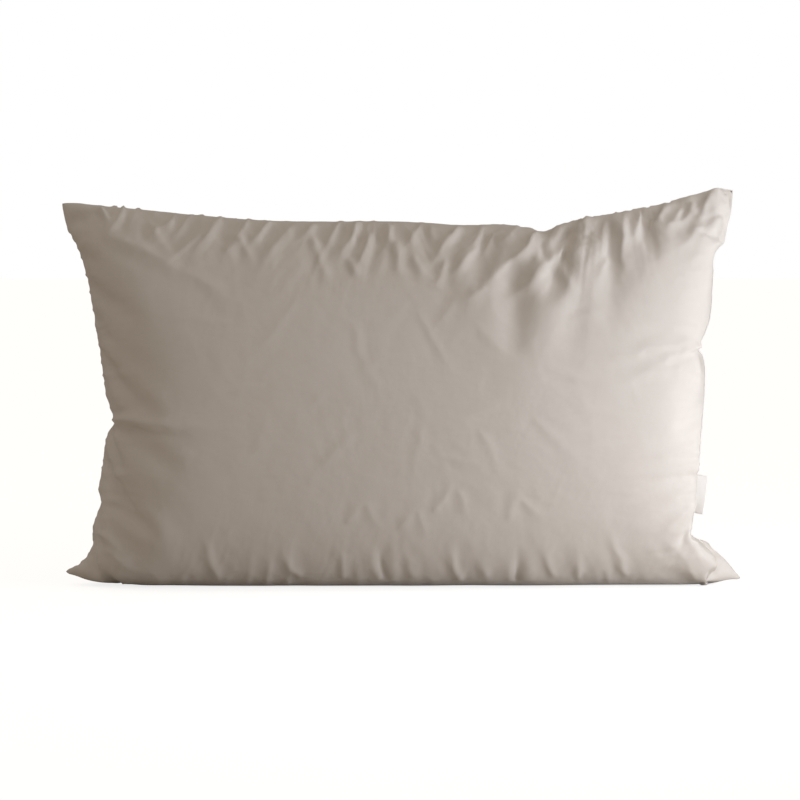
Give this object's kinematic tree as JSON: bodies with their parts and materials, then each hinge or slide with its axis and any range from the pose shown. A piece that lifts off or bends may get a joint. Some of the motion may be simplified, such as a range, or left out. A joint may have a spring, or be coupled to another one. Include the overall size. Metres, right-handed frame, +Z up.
{
  "type": "bed pillow",
  "caption": "Feather-filled cotton bed pillow standing on its long edge, with a sewn casing and a small folded label that flips in the side seam.",
  "frame": {"origin": "middle of the base, on the surface that the pillow stands on", "axes": "+Z up, +X along the long side, -Y out of the front panel; the label is in the seam on the +X side"},
  "size_m": [0.774, 0.215, 0.4527],
  "materials": {
    "casing": "unbleached downproof cotton percale, matt with a faint sheen",
    "fill": "loose white feather and down",
    "thread": "spun sewing thread, matt",
    "label": "woven satin tape, blank"
  },
  "bodies": {
    "pillow": {"front_panel": "casing", "back_panel": "casing", "fill": "fill", "seam_thread": "thread", "overlock_thread": "thread", "closing_stitch": "thread", "label_tail": "label"},
    "label": {"label_flap": "label"}
  },
  "joints": [
    {"name": "label_flip", "type": "hinge", "parent": "pillow", "child": "label", "pos_m": [0.33432, 0, 0.10494], "axis": [0.0854, 0, 0.9963], "range_deg": [-75, 75]}
  ]
}
